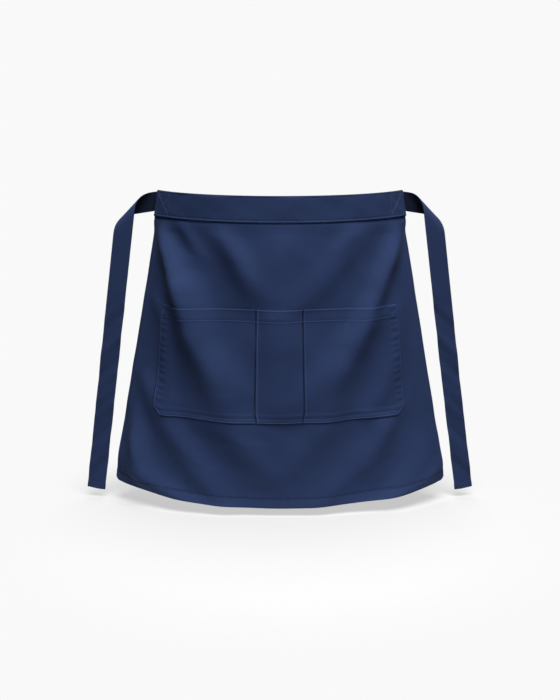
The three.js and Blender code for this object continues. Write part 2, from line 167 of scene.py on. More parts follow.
class ApronSizes(bpy.types.PropertyGroup):
    """Sizes that a maker would change, in metres."""

    band_height: length_size("Band height", "Height of the waistband", 0.040)
    band_depth: length_size("Band depth", "Depth of the band's curve", 0.105)
    band_top_chord: length_size(
        "Band top half chord", "Half the distance between the band's ends, at its top", 0.1955
    )
    band_low_chord: length_size(
        "Band lower half chord", "Half the distance between the band's ends, at its lower edge", 0.202
    )
    band_lift: length_size("Band lift", "Rise of the band's ends", 0.0058)
    skirt_top: length_size("Skirt top", "Height of the skirt's hidden edge", 0.016)
    skirt_hem: length_size("Skirt hem", "Height of the hem's lowest place", -0.478)
    hem_turn: length_size("Hem turn", "Width of the turned hem", 0.014)
    pocket_top: length_size("Pocket top", "Height of the pocket's mouth", -0.1548)
    pocket_cut: length_size("Pocket cut", "Height where its corners are cut", -0.319)
    pocket_bottom: length_size("Pocket bottom", "Height of its lower seam", -0.335)
    pocket_hem: length_size("Pocket hem", "Width of the mouth's turned hem", 0.018)
    divider_at: length_size("Divider", "Distance of each divider from the middle", 0.0352)
    tie_width: length_size("Tie width", "Width of a tie", 0.030)
    tie_length: length_size("Tie length", "Length of a tie past the band", 0.5233)
    tie_turn: length_size("Tie turn", "Radius of the tie's turn", 0.0114)
    stitch_length: length_size("Stitch length", "Visible length of one stitch", 0.0026)
    stitch_pitch: length_size("Stitch pitch", "Distance between stitches", 0.0034)


class ApronColours(bpy.types.PropertyGroup):
    """Colours of the cloth and thread."""

    cloth: colour_choice("Cloth", "Twill colour", (0.0178, 0.0325, 0.0900))
    band: colour_choice("Band", "Band twill colour", (0.0172, 0.0315, 0.0865))
    tie: colour_choice("Tie", "Tie twill colour", (0.0165, 0.0300, 0.0820))
    # Painted shade: a near-black colour standing in for the shade inside each tie's turn.
    inner: colour_choice(
        "Tie inner side", "Shaded inner side of the turned tie", (0.0038, 0.0068, 0.0195)
    )
    thread: colour_choice("Thread", "Seam thread colour", (0.044, 0.075, 0.180))
    ground: colour_choice("Ground", "Pale floor colour", (0.31, 0.31, 0.31))


class ApronStage(bpy.types.PropertyGroup):
    """Camera and lights."""

    distance: length_size("Camera distance", "From the band's front", 1.6046)
    height: length_size("Camera height", "Above the band's middle", 0.080)
    pitch: angle_size("Camera pitch", "Downward tilt", math.radians(10.57))
    lens: FloatProperty(name="Lens", description="Focal length in millimetres", default=53.49)
    floor: length_size("Floor height", "Height of the floor", -0.492)
    key: FloatProperty(name="Key light", description="Power of the light above the front", default=140.0)
    key_turn: angle_size("Key turn", "Turn of that light to the right", math.radians(14))
    key_height: angle_size("Key height", "Height angle of that light", math.radians(65))
    fill: FloatProperty(name="Fill light", description="Power of the light from the left", default=1.0)
    back: FloatProperty(name="Back light", description="Power of the light behind the apron", default=24.0)
    ambient: FloatProperty(name="Ambient", description="Strength of the room's light", default=0.10)
    samples_across: IntProperty(
        name="Cloth columns", description="Columns of the skirt's mesh", default=190, min=60, max=230
    )


def clamp(value, low, high):
    return np.minimum(high, np.maximum(low, value))


def mix(a, b, t):
    return a + (b - a) * t


def smooth(low, high, value):
    t = clamp((np.asarray(value, float) - low) / (high - low), 0.0, 1.0)
    return t * t * (3 - 2 * t)


def bump(value, at, reach):
    """A soft bump of height one, with its middle at a place."""
    return np.exp(-0.5 * ((np.asarray(value, float) - at) / reach) ** 2)


def sizes():
    """The maker's sizes in millimetres, by name."""
    group = bpy.context.scene.apron_sizes
    return {name: getattr(group, name) / MM for name in ApronSizes.__annotations__}


def plan_arc(half_chord, depth):
    radius = (half_chord**2 + depth**2) / (2 * depth)
    return radius, 2 * np.arctan(depth / half_chord)


def on_arc(radius, half, across, out, z):
    """Points off a plan arc, by share across and distance out to the front."""
    turn = half * across
    reach = radius + out
    x = reach * np.sin(turn)
    y = radius - reach * np.cos(turn)
    return np.stack(np.broadcast_arrays(x, y, z), axis=-1)


def band_lift(across):
    return sizes()["band_lift"] * across**2


def band_arc(height):
    s = sizes()
    t = (s["band_height"] / 2 - height) / s["band_height"]
    return plan_arc(mix(s["band_top_chord"], s["band_low_chord"], t), s["band_depth"])


def band_point(across, height, out):
    radius, half = band_arc(height)
    return on_arc(radius, half, across, out, height + band_lift(across))


def hem_level(across):
    side = np.abs(across)
    corner = clamp((side - 1 + HEM_CORNER_SHARE) / HEM_CORNER_SHARE, 0.0, 1.0)
    rounding = HEM_CORNER_RISE * (1 - np.sqrt(1 - 0.96 * corner**2))
    return sizes()["skirt_hem"] + HEM_RISE * side**HEM_RISE_POWER + rounding


def top_level(across):
    return sizes()["skirt_top"] + band_lift(across)


def share_down(across, z):
    return (top_level(across) - z) / (top_level(across) - hem_level(across))


def skirt_arc(down):
    chord = np.interp(down, SKIRT_PLAN["down"], SKIRT_PLAN["half_chord"])
    depth = np.interp(down, SKIRT_PLAN["down"], SKIRT_PLAN["depth"])
    return plan_arc(chord, depth)


def fold_lift(fold, across, down):
    """How far one fold lifts the cloth."""
    f = dict(zip(FOLD_COLUMNS, fold))
    s = sizes()
    along = clamp((down - f["d0"]) / (f["d1"] - f["d0"]), 0.0, 1.0)
    crest = mix(f["a0"], f["a1"], along) + f["bow"] * 4 * along * (1 - along)
    radius, half = skirt_arc(down)
    half_width = radius * half
    height = s["skirt_top"] - s["skirt_hem"]
    lean = ((f["a1"] - f["a0"]) * half_width) / ((f["d1"] - f["d0"]) * height)
    apart = ((across - crest) * half_width) / np.sqrt(1 + lean**2)
    shape = np.exp(-0.5 * (2 * apart / f["width"]) ** 2)
    ends = FOLD_END * 0.5
    first = smooth(f["d0"] - ends, f["d0"] + ends, down)
    last = 1 - smooth(f["d1"] - ends, f["d1"] + ends, down)
    return f["height"] * shape * first * last


def relief(across, down):
    """All folds together, held flat at the band and calmer at the hem."""
    at_band = smooth(*FOLD_AT_BAND, down)
    at_hem = mix(1.0, FOLD_AT_HEM, smooth(FOLD_CALM_FROM, 1.0, down))
    at_side = 1 - SIDE_CALM * smooth(SIDE_CALM_FROM, 1.0, np.abs(across))
    total = sum(fold_lift(fold, across, down) for fold in FOLDS.values())
    return FOLD_FULLNESS * total * at_band * at_hem * at_side


def hand_of_cloth(x, z, amount):
    """Small soft unevenness of lying cloth, from a few fixed waves."""
    waves = (
        (0.041, 0.027, 0.3, 1.0),
        (-0.033, 0.052, 1.7, 0.8),
        (0.088, -0.046, 0.9, 0.45),
        (0.071, 0.103, 2.6, 0.35),
        (-0.162, 0.118, 4.1, 0.18),
    )
    total = sum(a * np.sin(kx * x + kz * z + phase) for kx, kz, phase, a in waves)
    return amount * total


def skirt_point(across, z, out):
    down = share_down(across, z)
    radius, half = skirt_arc(down)
    return on_arc(radius, half, across, out + relief(across, down), z)


def deselect_all():
    if bpy.context.object and bpy.context.object.mode != "OBJECT":
        bpy.ops.object.mode_set(mode="OBJECT")
    for other in list(bpy.context.selected_objects):
        other.select_set(False)
    bpy.context.view_layer.objects.active = None


def link_mesh(name, points, faces, uv=None, marks=None):
    """A new object from points in millimetres, with a cloth map and named marks."""
    mesh = bpy.data.meshes.new(name)
    mesh.from_pydata((np.asarray(points) * MM).tolist(), [], [list(map(int, f)) for f in faces])
    mesh.update()
    if uv is not None:
        layer = mesh.uv_layers.new(name="cloth")
        corner = np.empty(len(mesh.loops), np.int32)
        mesh.loops.foreach_get("vertex_index", corner)
        layer.data.foreach_set("uv", (np.asarray(uv)[corner] * MM).ravel())
    for mark, values in (marks or {}).items():
        attribute = mesh.attributes.new(mark, "FLOAT", "POINT")
        attribute.data.foreach_set("value", np.asarray(values, np.float32))
    obj = bpy.data.objects.new(name, mesh)
    bpy.context.scene.collection.objects.link(obj)
    return obj


def cloth_solid(name, front, back, uv, marks):
    """A closed cloth piece between two grids of points, with a rounded edge all round."""
    rows, columns = front.shape[:2]
    flat = np.arange(rows * columns).reshape(rows, columns)
    side = rows * columns
    a, b = flat[:-1, :-1], flat[1:, :-1]
    c, d = flat[1:, 1:], flat[:-1, 1:]
    front_faces = np.stack([a, b, c, d], -1).reshape(-1, 4)
    back_faces = np.stack([a, d, c, b], -1).reshape(-1, 4) + side
    loop = [(r, 0, r, 1) for r in range(rows - 1)]
    loop += [(rows - 1, k, rows - 2, k) for k in range(columns - 1)]
    loop += [(r, columns - 1, r, columns - 2) for r in range(rows - 1, 0, -1)]
    loop += [(0, k, 1, k) for k in range(columns - 1, 0, -1)]
    loop = np.array(loop)
    edge_front = front[loop[:, 0], loop[:, 1]]
    edge_back = back[loop[:, 0], loop[:, 1]]
    inner = (front[loop[:, 2], loop[:, 3]] + back[loop[:, 2], loop[:, 3]]) / 2
    middle = (edge_front + edge_back) / 2
    outward = middle - inner
    outward /= np.linalg.norm(outward, axis=1, keepdims=True)
    half = (edge_front - edge_back) / 2
    thick = np.linalg.norm(half, axis=1, keepdims=True)
    rings = []
    for angle in (40, 90, 140):
        turn = math.radians(angle)
        rings.append(middle + half * math.cos(turn) + outward * thick * 0.8 * math.sin(turn))
    chain = [flat[loop[:, 0], loop[:, 1]]]
    count = len(loop)
    chain += [2 * side + k * count + np.arange(count) for k in range(3)]
    chain.append(flat[loop[:, 0], loop[:, 1]] + side)
    rim_faces = []
    for near, far in zip(chain[:-1], chain[1:]):
        rim_faces.append(np.stack([near, far, np.roll(far, -1), np.roll(near, -1)], -1))
    points = np.concatenate([front.reshape(-1, 3), back.reshape(-1, 3), *rings])
    edge_uv = uv[loop[:, 0], loop[:, 1]]
    all_uv = np.concatenate([uv.reshape(-1, 2), uv.reshape(-1, 2), *([edge_uv] * 3)])
    all_marks = {}
    for mark, (on_front, on_back, on_rim) in marks.items():
        rim_values = np.broadcast_to(on_rim, (3, count)) if np.ndim(on_rim) == 0 else on_rim
        if np.ndim(on_rim) == 2:
            rim_values = np.tile(on_rim[loop[:, 0], loop[:, 1]], (3, 1))
        all_marks[mark] = np.concatenate([on_front.ravel(), on_back.ravel(), np.ravel(rim_values)])
    faces = np.concatenate([front_faces, back_faces, *rim_faces])
    return link_mesh(name, points, faces.tolist(), all_uv, all_marks)


def settle(obj, slot, *nodes):
    """Smooth shading, outward faces and the frame's facts for a finished piece."""
    deselect_all()
    obj.select_set(True)
    bpy.context.view_layer.objects.active = obj
    bpy.ops.object.mode_set(mode="EDIT")
    bpy.ops.mesh.select_all(action="SELECT")
    bpy.ops.mesh.normals_make_consistent(inside=False)
    bpy.ops.object.mode_set(mode="OBJECT")
    bpy.ops.object.shade_smooth_by_angle(angle=math.radians(50))
    deselect_all()
    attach(obj, "root")
    if nodes:
        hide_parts(*nodes)
    return obj


def shares_with(places, steps, low=-1.0, high=1.0):
    """Even shares, with extra places put in where the seams need them."""
    even = np.linspace(low, high, steps + 1)
    values = np.unique(np.round(np.concatenate([even, places]), 6))
    keep = [values[0]]
    smallest = 0.12 * (high - low) / steps
    for value in values[1:]:
        if value - keep[-1] > smallest:
            keep.append(value)
    keep[-1] = high
    return np.array(keep)


# Materials


def new_material(name):
    material = bpy.data.materials.new(name)
    material.use_nodes = True
    tree = material.node_tree
    tree.nodes.clear()
    out = tree.nodes.new("ShaderNodeOutputMaterial")
    shader = tree.nodes.new("ShaderNodeBsdfPrincipled")
    tree.links.new(shader.outputs["BSDF"], out.inputs["Surface"])
    return material, tree, shader


def math_node(tree, operation, a, b=None):
    node = tree.nodes.new("ShaderNodeMath")
    node.operation = operation
    for socket, value in zip(node.inputs, (a, b)):
        if value is None:
            continue
        if isinstance(value, (int, float)):
            socket.default_value = value
        else:
            tree.links.new(value, socket)
    return node.outputs[0]


def mix_colour(tree, factor, a, b):
    node = tree.nodes.new("ShaderNodeMix")
    node.data_type = "RGBA"
    for socket, value in ((node.inputs["Factor"], factor), (node.inputs[6], a), (node.inputs[7], b)):
        if isinstance(value, (int, float)):
            socket.default_value = value
        elif isinstance(value, tuple):
            socket.default_value = (*value, 1.0)
        else:
            tree.links.new(value, socket)
    return node.outputs[2]


def attribute(tree, name):
    node = tree.nodes.new("ShaderNodeAttribute")
    node.attribute_name = name
    return node.outputs["Fac"]


def noise(tree, vector, scale, detail=2.0):
    node = tree.nodes.new("ShaderNodeTexNoise")
    node.inputs["Scale"].default_value = scale
    node.inputs["Detail"].default_value = detail
    tree.links.new(vector, node.inputs["Vector"])
    return node.outputs["Fac"]


def twill(tree, vector, spacing, angle):
    """Diagonal ridges of a twill weave, spaced in metres on the cloth map."""
    turn = tree.nodes.new("ShaderNodeMapping")
    turn.inputs["Rotation"].default_value = (0, 0, angle)
    tree.links.new(vector, turn.inputs["Vector"])
    wave = tree.nodes.new("ShaderNodeTexWave")
    wave.wave_type = "BANDS"
    wave.inputs["Scale"].default_value = 0.314 / spacing
    wave.inputs["Distortion"].default_value = 0.6
    wave.inputs["Detail"].default_value = 1.0
    tree.links.new(turn.outputs["Vector"], wave.inputs["Vector"])
    return wave.outputs["Fac"]


def cloth_material(name, colour, inner=None):
    """Cotton twill: diagonal weave, soft blotches, lint, edges lightened by wear and painted highlight,
    painted shade along stitched grooves and edges, painted shade inside the ties' turns and a little sheen.
    """
    material, tree, shader = new_material(name)
    uv = tree.nodes.new("ShaderNodeUVMap")
    uv.uv_map = "cloth"
    place = uv.outputs["UV"]
    ridges = twill(tree, place, 0.0011, math.radians(63))
    yarns = twill(tree, place, 0.0006, math.radians(0))
    lint = noise(tree, place, 900.0, 3.0)
    blotch = noise(tree, place, 22.0, 3.0)
    slub = noise(tree, place, 160.0, 2.0)
    dark = tuple(c * 0.86 for c in colour)
    light = tuple(min(1.0, c * 1.14) for c in colour)
    base = mix_colour(tree, blotch, dark, light)
    weave_shade = math_node(tree, "MULTIPLY", ridges, 0.22)
    base = mix_colour(tree, weave_shade, base, tuple(c * 0.6 for c in colour))
    slub_shade = math_node(tree, "MULTIPLY", slub, 0.16)
    base = mix_colour(tree, slub_shade, base, tuple(min(1.0, c * 1.5) for c in colour))
    # Lightens the cloth where the edge mark is set: partly wear on folded edges, partly painted highlight
    # on beads, rims, crests and the crossed diagonals that face the light.
    wear_and_highlight = math_node(tree, "MULTIPLY", attribute(tree, "edge"), 0.55)
    wear_and_highlight = math_node(tree, "MULTIPLY", wear_and_highlight, math_node(tree, "ADD", lint, 0.35))
    base = mix_colour(tree, wear_and_highlight, base, tuple(min(1.0, c * 2.1 + 0.004) for c in colour))
    # Painted shade: darkens the cloth in stitched grooves, beside the dividers, along the pocket's border,
    # at the band's top fold and on the rims.
    seam_and_edge_shade = math_node(tree, "MULTIPLY", attribute(tree, "seam_and_edge_shade"), 0.9)
    base = mix_colour(tree, seam_and_edge_shade, base, tuple(c * 0.3 for c in colour))
    # Painted shade: the inner mark gives the back face and rim of each tie near its turn a near-black
    # colour standing in for the shade inside the turn.
    if inner is not None:
        base = mix_colour(tree, attribute(tree, "inner"), base, inner)
    tree.links.new(base, shader.inputs["Base Color"])
    rough = math_node(tree, "MULTIPLY_ADD", lint, 0.12)
    rough.node.inputs[2].default_value = 0.78
    tree.links.new(rough, shader.inputs["Roughness"])
    shader.inputs["Specular IOR Level"].default_value = 0.12
    shader.inputs["Sheen Weight"].default_value = 0.03
    shader.inputs["Sheen Roughness"].default_value = 0.45
    shader.inputs["Sheen Tint"].default_value = (0.55, 0.65, 1.0, 1.0)
    height = math_node(tree, "MULTIPLY", ridges, 0.6)
    height = math_node(tree, "ADD", height, math_node(tree, "MULTIPLY", yarns, 0.25))
    height = math_node(tree, "ADD", height, math_node(tree, "MULTIPLY", lint, 0.3))
    relief_node = tree.nodes.new("ShaderNodeBump")
    relief_node.inputs["Strength"].default_value = 0.28
    relief_node.inputs["Distance"].default_value = 0.00025
    tree.links.new(height, relief_node.inputs["Height"])
    tree.links.new(relief_node.outputs["Normal"], shader.inputs["Normal"])
    return material


def thread_material(name, colour):
    """Twisted sewing thread: fine slanting plies and a soft shine."""
    material, tree, shader = new_material(name)
    place = tree.nodes.new("ShaderNodeTexCoord").outputs["Object"]
    plies = twill(tree, place, 0.0005, math.radians(35))
    base = mix_colour(tree, plies, tuple(c * 0.7 for c in colour), tuple(min(1, c * 1.3) for c in colour))
    tree.links.new(base, shader.inputs["Base Color"])
    shader.inputs["Roughness"].default_value = 0.7
    shader.inputs["Specular IOR Level"].default_value = 0.12
    relief_node = tree.nodes.new("ShaderNodeBump")
    relief_node.inputs["Strength"].default_value = 0.3
    relief_node.inputs["Distance"].default_value = 0.0001
    tree.links.new(plies, relief_node.inputs["Height"])
    tree.links.new(relief_node.outputs["Normal"], shader.inputs["Normal"])
    return material


def finish_material(key):
    """The material of one finish, made once."""
    made = bpy.data.materials.get(key)
    if made:
        return made
    colours = bpy.context.scene.apron_colours
    if key == "seam_thread":
        return thread_material(key, tuple(colours.thread))
    if key == "tie_twill":
        return cloth_material(key, tuple(colours.tie), tuple(colours.inner))
    return cloth_material(key, tuple(colours.band if key == "band_twill" else colours.cloth))


# Seams


def one_stitch():
    """A single stitch, modelled from a small sphere drawn out to a thread's float."""
    s = sizes()
    deselect_all()
    bpy.ops.mesh.primitive_uv_sphere_add(segments=6, ring_count=4, radius=0.5, location=(0, 0, 0))
    stitch = bpy.context.object
    stitch.name = "stitch"
    bpy.ops.object.mode_set(mode="EDIT")
    bpy.ops.mesh.select_all(action="SELECT")
    bpy.ops.transform.resize(value=(0.62, 0.62, s["stitch_length"]))
    bpy.ops.object.mode_set(mode="OBJECT")
    count = len(stitch.data.vertices)
    points = np.empty(count * 3)
    stitch.data.vertices.foreach_get("co", points)
    faces = [tuple(p.vertices) for p in stitch.data.polygons]
    bpy.data.objects.remove(stitch, do_unlink=True)
    return points.reshape(-1, 3), faces


def sew(name, runs, slot="seam_thread"):
    """Lays copies of one stitch along runs of points with their outward directions."""
    s = sizes()
    shape, shape_faces = one_stitch()
    points, faces = [], []
    for path, normals in runs:
        path, normals = np.asarray(path, float), np.asarray(normals, float)
        step = np.linalg.norm(np.diff(path, axis=0), axis=1)
        length = np.concatenate([[0], np.cumsum(step)])
        count = max(1, int(length[-1] / s["stitch_pitch"]))
        for k in range(count):
            at = (k + 0.5) * length[-1] / count
            spot = np.array([np.interp(at, length, path[:, i]) for i in range(3)])
            ahead = np.array([np.interp(at + 0.5, length, path[:, i]) for i in range(3)])
            behind = np.array([np.interp(at - 0.5, length, path[:, i]) for i in range(3)])
            out = np.array([np.interp(at, length, normals[:, i]) for i in range(3)])
            along = (ahead - behind) / np.linalg.norm(ahead - behind)
            out = out - along * out.dot(along)
            out /= np.linalg.norm(out)
            beside = np.cross(along, out)
            placed = spot + out * STITCH_LIFT + shape @ np.stack([beside, out, along])
            first = len(points) * len(shape)
            points.append(placed)
            faces += [tuple(first + i for i in face) for face in shape_faces]
    obj = link_mesh(name, np.concatenate(points), faces)
    obj.data.materials.append(finish_material("seam_thread"))
    return settle(obj, slot)


def surface_run(point, u, v):
    """A run of surface points and outward directions from a function of two places."""
    u, v = np.broadcast_arrays(np.asarray(u, float), np.asarray(v, float))
    at = point(u, v)
    du = point(u + 1e-4, v) - point(u - 1e-4, v)
    dv = point(u, v + 0.05) - point(u, v - 0.05)
    out = np.cross(du, dv)
    out /= np.linalg.norm(out, axis=1, keepdims=True)
    flip = np.where(out[:, 1] > 0, -1.0, 1.0)[:, None]
    return at, out * flip


# Skirt


def hem_seam(across, z):
    """Share of the hem's stitched groove at a place on the skirt."""
    s = sizes()
    above = z - hem_level(across)
    return bump(above, s["hem_turn"], 0.9)


def side_seam(across):
    return bump(np.abs(across), 1 - SIDE_TURN_SHARE, 0.0035)


def skirt_detail(across, z):
    """Small relief of the skirt's front: grooves, puckers and rolled edges."""
    s = sizes()
    above = z - hem_level(across)
    down = share_down(across, z)
    radius, half = skirt_arc(down)
    along = across * radius * half
    free = smooth(0.09, 0.14, down)
    groove = -0.55 * hem_seam(across, z) - 0.3 * side_seam(across) * free
    pucker = 0.28 * np.sin(along * 0.47 + 0.8 * np.sin(along * 0.11)) * bump(above, s["hem_turn"], 6.0)
    hem_body = 0.5 * smooth(s["hem_turn"] + 1, s["hem_turn"] - 1, above)
    roll = -1.2 * smooth(0.975, 1.0, np.abs(across)) ** 2 * free
    lip = -0.5 * smooth(2.0, 0.0, above)
    flare = HEM_FLARE * (1 + 0.4 * np.abs(across)) * clamp(1 - above / s["hem_turn"], 0.0, 1.0)
    flare = flare * (1 - smooth(0.90, 0.99, np.abs(across)))
    under_band = 0.8 * smooth(-21.0, -24.0, z) * smooth(-46.0, -26.0, z)
    small = groove + pucker + hem_body + roll + lip + flare + under_band
    return small + hand_of_cloth(along, z, 0.22) * free


def skirt_front(across, z):
    return skirt_point(across, z, SKIRT_FRONT + skirt_detail(across, z))


class APRON_OT_skirt(bpy.types.Operator):
    """Builds the skirt panel with its folds, hems and hem stitching"""

    bl_idname = "apron.skirt"
    bl_label = "Skirt panel"

    def execute(self, context):
        s = sizes()
        stage = context.scene.apron_stage
        side = 1 - SIDE_TURN_SHARE
        near = np.array([-0.009, -0.006, -0.003, 0.0, 0.003, 0.006, 0.009])
        places = np.concatenate([side + near, [0.965, 0.972, 0.98, 0.987, 0.993, 0.997, 1.0]])
        places = np.concatenate([places, [NOTCH_INNER, NOTCH_OUTER]])
        across = shares_with(np.concatenate([places, -places]), stage.samples_across)
        height = s["skirt_top"] - s["skirt_hem"]
        hem_share = s["hem_turn"] / height
        close = np.array([-3.0, -2.0, -1.2, -0.6, 0.0, 0.6, 1.2, 2.0, 3.0]) / height
        low = np.concatenate([1 - hem_share + close, 1 - np.array([0.3, 0.8, 1.6, 3.0, 5.0]) / height])
        down = np.concatenate([[0.0], shares_with(low, 140, 0.075, 1.0)])
        u = np.broadcast_to(across, (len(down), len(across)))
        z = mix(top_level(u), hem_level(u), down[:, None])
        notch = NOTCH_LEVEL + band_lift(across)
        cut = smooth(NOTCH_INNER, NOTCH_OUTER, np.abs(across))
        z[0] = mix(top_level(across), notch, cut)
        front = skirt_front(u, z)
        turned = smooth(side - 0.006, side, np.abs(u)) * (np.arange(len(down)) > 1)[:, None]
        hem = smooth(s["hem_turn"] + 2, s["hem_turn"], z - hem_level(u))
        thick = SKIRT_CLOTH + np.maximum(0.9 * turned, 1.2 * hem)
        back = skirt_point(u, z, SKIRT_FRONT + skirt_detail(u, z) - thick)
        radius, half = skirt_arc(share_down(u, z))
        uv = np.stack([u * radius * half, z], -1)
        rim = np.maximum(smooth(0.985, 1.0, np.abs(u)), smooth(3.0, 0.0, z - hem_level(u)))
        # Painted shade in the hem's and the sides' stitched grooves, and on the rim.
        seam_and_edge_shade = np.maximum(0.85 * hem_seam(u, z), 0.3 * side_seam(u)) * smooth(0.08, 0.1, down)[:, None]
        none = np.zeros_like(rim)
        marks = {"edge": (0.3 * rim, rim, 0.0), "seam_and_edge_shade": (seam_and_edge_shade, seam_and_edge_shade, 0.7), "inner": (none, none, 0.0)}
        skirt = cloth_solid("skirt_cloth", front, back, uv, marks)
        skirt.data.materials.append(finish_material("skirt_twill"))
        settle(skirt, "skirt_cloth", "skirt_panel")
        runs = []
        line = np.linspace(-side, side, 400)
        runs.append(surface_run(skirt_front, line, hem_level(line) + s["hem_turn"]))
        for sign in (-1, 1):
            drop = np.linspace(0.09, 1 - hem_share * 1.1, 300)
            edge = np.full_like(drop, sign * side)
            runs.append(surface_run(skirt_front, edge, mix(top_level(edge), hem_level(edge), drop)))
        stitches = sew("skirt_stitches", runs)
        return {"FINISHED"}


# Waistband

BAND_DROP = 2.1


def band_front(across, height):
    """The band's outer face, with its lower bead, sewn grooves and soft unevenness."""
    s = sizes()
    low = -s["band_height"] / 2 - BAND_DROP
    high = s["band_height"] / 2
    bead = 0.5 * bump(height, low + 2.0, 0.9) - 1.15 * bump(height, low, 0.9)
    groove = -0.35 * bump(height, low + BAND_LOW_ROW, 0.7) - 0.28 * bump(height, high - BAND_TOP_ROW, 0.7)
    along = across * s["band_top_chord"] * 1.2
    pucker = 0.16 * np.sin(along * 0.52 + np.sin(along * 0.13)) * bump(height, low + 5.5, 3.5)
    flat = smooth(high - 1.0, high - 3.0, height)
    soft = hand_of_cloth(along * 1.3, height * 2.0, 0.30)
    crossed = -0.32 * cross_seam(across, height, cross_lines())
    return band_point(across, height, BAND_THICKNESS + (bead + groove + pucker + soft + crossed) * flat)


CROSS_INNER = 0.835
CROSS_OUTER = 0.972
CROSS_LOW = -14.5
CROSS_HIGH = 15.5
CROSS_SHINE = 1.1
CROSS_SCALE = 232.0
CROSS_WIDTH = 0.7


def cross_lines():
    """Corner pairs of the crossed box sewn over each tie's root, by share and height."""
    a, b, low, high = CROSS_INNER, CROSS_OUTER, CROSS_LOW, CROSS_HIGH
    return [
        ((a, low), (a, high)),
        ((b, low), (b, high)),
        ((a, low), (b, low)),
        ((a, high), (b, high)),
        ((a, low), (b, high)),
        ((a, high), (b, low)),
    ]


def cross_seam(across, height, lines):
    """Share of a crossed box's grooves at a place on the band."""
    total = 0.0
    x, y = np.abs(across) * CROSS_SCALE, np.asarray(height, float)
    for (u0, h0), (u1, h1) in lines:
        ax, ay, bx, by = u0 * CROSS_SCALE, h0, u1 * CROSS_SCALE, h1
        dx, dy = bx - ax, by - ay
        t = clamp(((x - ax) * dx + (y - ay) * dy) / (dx * dx + dy * dy), 0.0, 1.0)
        apart = np.hypot(x - ax - t * dx, y - ay - t * dy)
        total = np.maximum(total, np.exp(-0.5 * (apart / CROSS_WIDTH) ** 2))
    return total


